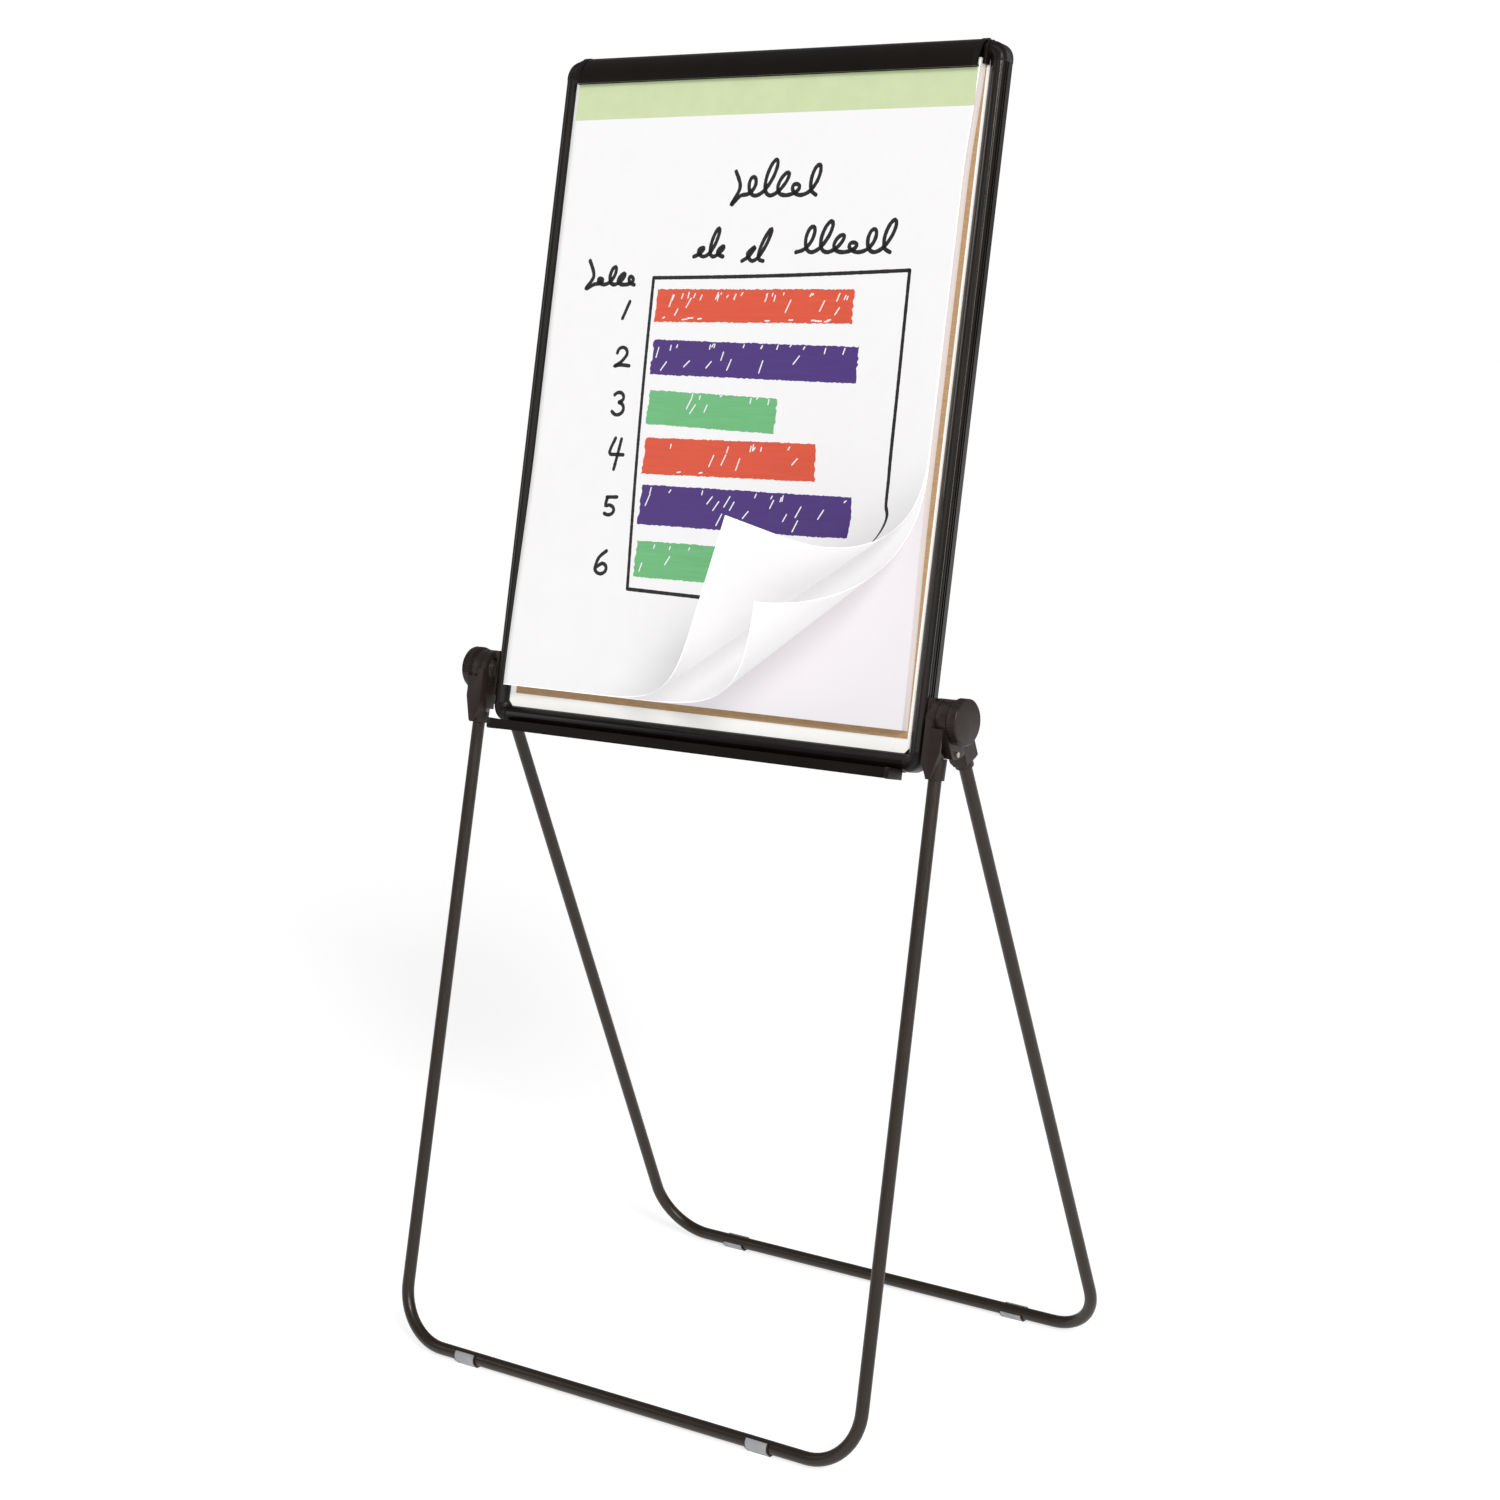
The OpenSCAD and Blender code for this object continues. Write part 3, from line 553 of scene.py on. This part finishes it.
def stack_of_pages():
    """The pages under the loose sheets, with uneven edges and the bowed right side."""
    jitter = random.Random(8)
    layers, rows, cols = 9, 60, 24
    depth = PAGES_HIGH.y - PAGES_LOW.y
    shifts = [(jitter.uniform(0, 0.5) * MM, jitter.uniform(0, 0.6) * MM) for _ in range(layers + 1)]
    shifts[-1] = shifts[0] = (0, 0)

    def point(layer, i, j):
        inwards, up = shifts[layer]
        x = PAD_LEFT + inwards + (PAD_RIGHT - PAD_LEFT - 2 * inwards) * i / cols
        z = PAD_BOTTOM + up + (PAD_TOP - PAD_BOTTOM - up) * j / rows
        return BOARD @ Vector((x - bow(x, z), PAGES_LOW.y + depth * layer / layers, z))

    verts, faces = [], []

    def patch(count_a, count_b, place):
        base = len(verts)
        for a in range(count_a + 1):
            verts.extend(place(a, b) for b in range(count_b + 1))
        for a in range(count_a):
            for b in range(count_b):
                k = base + a * (count_b + 1) + b
                faces.append((k, k + 1, k + count_b + 2, k + count_b + 1))

    for layer in (0, layers):
        patch(cols, rows, lambda i, j, at=layer: point(at, i, j))
    for i in (0, cols):
        patch(layers, rows, lambda layer, j, at=i: point(layer, at, j))
    for j in (0, rows):
        patch(layers, cols, lambda layer, i, at=j: point(layer, i, at))
    piece = new_piece("page_stack", verts, faces, PAGE_STACK_WITH_PAINTED_SHADE, smooth=False)
    joined = bmesh.new()
    joined.from_mesh(piece.data)
    bmesh.ops.remove_doubles(joined, verts=joined.verts, dist=0.001 * MM)
    bmesh.ops.recalc_face_normals(joined, faces=joined.faces)
    joined.to_mesh(piece.data)
    joined.free()
    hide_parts("pad_pages")


stack_of_pages()
curled_sheet("top_page", "front_sheet", FRONT_ROLL, FRONT_HEIGHT, True)
curled_sheet("second_page", "second_sheet", SECOND_ROLL, SECOND_HEIGHT, False)


# ---- Marker drawing on the top page, in millimetres on the page ----

INK_LIFT = SHEET_T + 0.06 * MM
INK_T = 0.05 * MM
rng = random.Random(4)


def on_page(x, z, lift):
    return sheet_point(x * MM, z * MM, FRONT_ROLL, FRONT_HEIGHT, lift)


def smooth_path(points, step=2.5):
    """Catmull-Rom curve through a stroke's points."""
    padded = [points[0]] + list(points) + [points[-1]]
    path = []
    for a, b, c, d in zip(padded, padded[1:], padded[2:], padded[3:]):
        count = max(2, int(math.dist(b, c) / step))
        for k in range(count):
            t = k / count
            path.append(
                tuple(
                    0.5
                    * (
                        2 * b[n]
                        + (c[n] - a[n]) * t
                        + (2 * a[n] - 5 * b[n] + 4 * c[n] - d[n]) * t**2
                        + (3 * b[n] - a[n] - 3 * c[n] + d[n]) * t**3
                    )
                    for n in (0, 1)
                )
            )
    return path + [points[-1]]


def stroke_mesh(points, width, lift, verts, faces):
    """Adds one pen stroke with round ends, as a strip that follows the page."""
    path = smooth_path(points)
    base = len(verts)
    last = len(path) - 1
    for k, (x, z) in enumerate(path):
        a, b = path[max(0, k - 1)], path[min(last, k + 1)]
        length = math.dist(a, b) or 1
        nx, nz = -(b[1] - a[1]) / length, (b[0] - a[0]) / length
        half = width / 2 * (1 + rng.uniform(-0.07, 0.07))
        verts.append(on_page(x + nx * half, z + nz * half, lift))
        verts.append(on_page(x - nx * half, z - nz * half, lift))
    for k in range(last):
        i = base + 2 * k
        faces.append((i, i + 1, i + 3, i + 2))
    for end, other in ((0, 1), (last, last - 1)):
        x, z = path[end]
        heading = math.atan2(z - path[other][1], x - path[other][0])
        first, final = (base + 1, base) if end == 0 else (base + 2 * end, base + 2 * end + 1)
        cap = []
        for s in range(1, 6):
            turn = heading + math.pi / 2 - math.pi * s / 6
            cap.append(len(verts))
            verts.append(on_page(x + width / 2 * math.cos(turn), z + width / 2 * math.sin(turn), lift))
        faces.append((final, *cap[::-1], first))


def drawing(name, strokes, width, material, lift=INK_LIFT):
    """Pen strokes joined in one piece."""
    verts, faces = [], []
    for points in strokes:
        stroke_mesh(points, width, lift, verts, faces)
    piece = new_piece(name, verts, faces, material, smooth=False)
    thicken(piece, INK_T)


def filled_bar(name, left, top, height, length, rise, lean, material):
    """A bar coloured in by hand. Its right end stands rise higher, and leans out by lean."""
    column_width, rows = 3, 12
    cols = int(length / column_width)
    end_wobble, side_wobble = 1.6, 0.7
    wobble = {}

    def edge(kind, k):
        if (kind, k) not in wobble:
            reach = end_wobble if kind in ("left", "right") else side_wobble
            wobble[kind, k] = rng.uniform(-1, 1) * reach
        return wobble[kind, k]

    verts = []
    for j in range(rows + 1):
        down = j / rows
        for i in range(cols + 1):
            t = i / cols
            x0 = left - down + edge("left", j)
            x1 = left + length + lean * down + edge("right", j)
            z0 = top + rise * t + edge("top", i)
            z1 = top - height + rise * t + edge("bottom", i)
            verts.append(on_page(x0 + (x1 - x0) * t, z0 + (z1 - z0) * down, INK_LIFT))
    faces = [
        (j * (cols + 1) + i, (j + 1) * (cols + 1) + i, (j + 1) * (cols + 1) + i + 1,
         j * (cols + 1) + i + 1)
        for j in range(rows)
        for i in range(cols)
    ]
    piece = new_piece(name, verts, faces, material, smooth=False)
    thicken(piece, INK_T)


# Bars from the top down: name, top, height, length, rise, lean, ink, and how many bare flecks
# along the top, inside and along the bottom. Each bar starts a little further right.
BAR_LEFT = -149
ROW_SHIFT = 3
FLECK_MARGIN = 8
BARS = (
    ("bar_1", 556, 46, 335, 2, 2, INK_RED, 24, 6, 12),
    ("bar_2", 485, 49, 350, -4, 2, INK_PURPLE, 13, 8, 0),
    ("bar_3", 414, 48, 222, -6, 2, INK_GREEN, 6, 3, 0),
    ("bar_4", 347, 51, 292, 2, 6, INK_RED, 7, 4, 2),
    ("bar_5", 281, 56, 358, -1, 5, INK_PURPLE, 8, 12, 0),
    ("bar_6", 202, 51, 253, 0, 0, INK_GREEN, 4, 4, 0),
)

flecks = []
for row, (name, top, height, length, rise, lean, ink, *fleck_counts) in enumerate(BARS):
    left = BAR_LEFT + ROW_SHIFT * row
    bottom = top - height
    along_top, inside, along_bottom = fleck_counts
    filled_bar(name, left, top, height, length, rise, lean, ink)
    for k in range(along_top + inside + along_bottom):
        x = rng.uniform(left + FLECK_MARGIN, left + length - FLECK_MARGIN)
        if k < along_top:
            z = top - rng.uniform(3, 8)
            run, drop = rng.uniform(0.5, 3), rng.uniform(1.5, 8)
        elif k < along_top + inside:
            z = rng.uniform(bottom + 18, top - 8)
            run, drop = rng.uniform(3, 9), rng.uniform(8, 17)
        else:
            z = bottom + rng.uniform(4, 7)
            run, drop = rng.uniform(3, 9), rng.uniform(0, 1)
        flecks.append([(x, z), (x - run, z - drop)])
drawing("bare_flecks", flecks, 1.9, MATERIALS["paper_white"], INK_LIFT + 0.07 * MM)


def bowed(start, end, bow_x, bow_z):
    """A line from start to end whose middle wanders by bow_x and bow_z."""
    points = []
    for k in range(7):
        t = k / 6
        wander = math.sin(math.pi * t)
        x = start[0] + (end[0] - start[0]) * t + bow_x * wander
        z = start[1] + (end[1] - start[1]) * t + bow_z * wander
        points.append((x, z))
    return points


def arc(x, z, radius_x, radius_z, start, end):
    """Points along an ellipse about x, z, between two angles in degrees."""
    turns = [math.radians(start + (end - start) * k / 6) for k in range(7)]
    return [(x + radius_x * math.cos(a), z + radius_z * math.sin(a)) for a in turns]


# The frame's corners. Its right side swings out beside the fifth bar, where the page lifts.
TOP_LEFT, TOP_RIGHT, LOW_LEFT, LOW_RIGHT = (-160, 572), (271, 584), (-142, 133), (300, 124)
FRAME_LINES = (
    bowed(TOP_LEFT, LOW_LEFT, -3, 0),
    bowed(TOP_LEFT, TOP_RIGHT, 0, -2),
    [TOP_RIGHT, (274, 430), (276, 320), (280, 275), (294, 240), LOW_RIGHT],
    bowed(LOW_LEFT, LOW_RIGHT, 0, 0),
)
drawing("chart_frame", FRAME_LINES, 5.2, INK_BLACK)

# The numerals 1 to 6: each numeral's middle, then its strokes about that middle.
NUMERALS = (
    (-203, 526, [(5, 12), (-5, -12)]),
    (-200, 460, arc(-1, 5, 9, 8, 180, -40) + [(-3, -9), (-13, -14), (-2, -12), (14, -13)]),
    (-198, 393, arc(0, 9, 9, 7, 150, -90) + arc(0, -7, 11, 9, 90, -150)),
    (-190, 322, [(-5, 22), (-13, 1), (0, -1), (12, -1)], [(6, 21), (-2, -22)]),
    (-191, 248, [(-6, 11), (-8, 0)] + arc(-2, -6, 10, 7, 90, -130), [(-7, 12), (11, 13)]),
    (-194, 168, [(7, 16), (-5, 6)] + arc(0, -9, 10, 8, 170, 390) + [(2, -2), (-8, -8)]),
)
number_strokes = [
    [(middle_x + x, middle_z + z) for x, z in stroke]
    for middle_x, middle_z, *strokes in NUMERALS
    for stroke in strokes
]
drawing("chart_numbers", number_strokes, 5.4, INK_BLACK)


def looping_line(x0, x1, z, height, loops, tail=0.0):
    """A wordless scribble of loops along a line, which tilts like handwriting."""
    points = []
    count = loops * 8
    unevenness, slant = 0.55, 0.35
    loop_width = 0.465 * (x1 - x0) / loops
    for k in range(count + 1):
        t = k / count
        turn = 2 * math.pi * loops * t
        tall = height * (1 + unevenness * math.sin(9 * t + loops))
        up = tall * (1 - math.cos(turn)) / 2
        points.append((x0 + (x1 - x0) * t + loop_width * math.sin(turn) + slant * up, z + up))
    if tail:
        points[0:0] = [(x0 - 12, z + 34), (x0 - 2, z + 12), (x0 - 14, z - tail)]
    return points


SCRIBBLES = (
    looping_line(-24, 104, 686, 32, 5, 12),
    looping_line(-93, -42, 602, 26, 3),
    looping_line(-8, 28, 596, 32, 2),
    looping_line(82, 236, 608, 28, 6),
    looping_line(-268, -194, 562, 17, 4, 6),
)
drawing("chart_titles", SCRIBBLES, 6, INK_BLACK)


# ---- Floor, light and camera ----


def aimed(name, kind, place, aim=(0, 0, 1.0), **settings):
    """A light of a kind, turned from its place towards aim."""
    data = bpy.data.lights.new(name, kind)
    for key, value in settings.items():
        setattr(data, key, value)
    light = bpy.data.objects.new(name, data)
    light.location = place
    light.rotation_euler = (Vector(aim) - Vector(place)).to_track_quat("-Z", "Y").to_euler()
    bpy.context.scene.collection.objects.link(light)


def surround():
    """White to the camera, and dimmer as a light, so that black gloss stays black."""
    world = bpy.data.worlds.new("studio")
    bpy.context.scene.world = world
    world.use_nodes = True
    tree = world.node_tree
    background = tree.nodes["Background"]
    background.inputs["Color"].default_value = (1, 1, 1, 1)
    rays = tree.nodes.new("ShaderNodeLightPath")
    strength = tree.nodes.new("ShaderNodeMapRange")
    strength.inputs["To Min"].default_value = 0.25
    strength.inputs["To Max"].default_value = 1.02
    tree.links.new(rays.outputs["Is Camera Ray"], strength.inputs["Value"])
    tree.links.new(strength.outputs["Result"], background.inputs["Strength"])


def studio():
    """A pale floor that runs into a white surround, with soft light from the upper right."""
    reach = 40
    mesh = bpy.data.meshes.new("floor")
    mesh.from_pydata(
        [(-reach, -reach, 0), (reach, -reach, 0), (reach, reach, 0), (-reach, reach, 0)],
        [], [(0, 1, 2, 3)],
    )
    floor = bpy.data.objects.new("floor", mesh)
    bpy.context.scene.collection.objects.link(floor)
    pale = Material("floor_paper", (0.62, 0.62, 0.62, 1), 0.9, gloss=0.05)
    pale.glow((1, 1, 1, 1), 0.69)
    mesh.materials.append(pale.mat)
    surround()
    aimed("key", "SUN", (3.1, -2.4, 3.2), energy=1.7, angle=math.radians(16))
    aimed("front", "SUN", (0.3, -3.0, 0.8), energy=0.35, angle=math.radians(60))
    aimed("left_box", "AREA", (-2.9, -2.3, 2.3), shape="RECTANGLE", size=0.8, size_y=1.7, energy=10)
    aimed("side_box", "AREA", (3.2, -0.6, 1.6), shape="RECTANGLE", size=0.35, size_y=2.4, energy=12)
    aimed("top_box", "AREA", (0.4, -1.2, 3.6), shape="RECTANGLE", size=2.0, size_y=0.4, energy=6)
    aimed("rim", "AREA", (1.5, 3.0, 2.4), shape="RECTANGLE", size=1.0, size_y=2.0, energy=8)
    bpy.context.scene.view_settings.view_transform = "Standard"


def camera():
    azimuth, elevation, distance = math.radians(36.93), math.radians(9.64), 3.99455
    target = Vector((0.0754, HINGE.y, 0.9023))
    away = Vector(
        (
            math.sin(azimuth) * math.cos(elevation),
            -math.cos(azimuth) * math.cos(elevation),
            math.sin(elevation),
        )
    )
    data = bpy.data.cameras.new("camera")
    data.sensor_width = 36
    data.lens = 69.93
    made = bpy.data.objects.new("camera", data)
    made.location = target + away * distance
    made.rotation_euler = (-away).to_track_quat("-Z", "Y").to_euler()
    bpy.context.scene.collection.objects.link(made)
    bpy.context.scene.camera = made


studio()
camera()
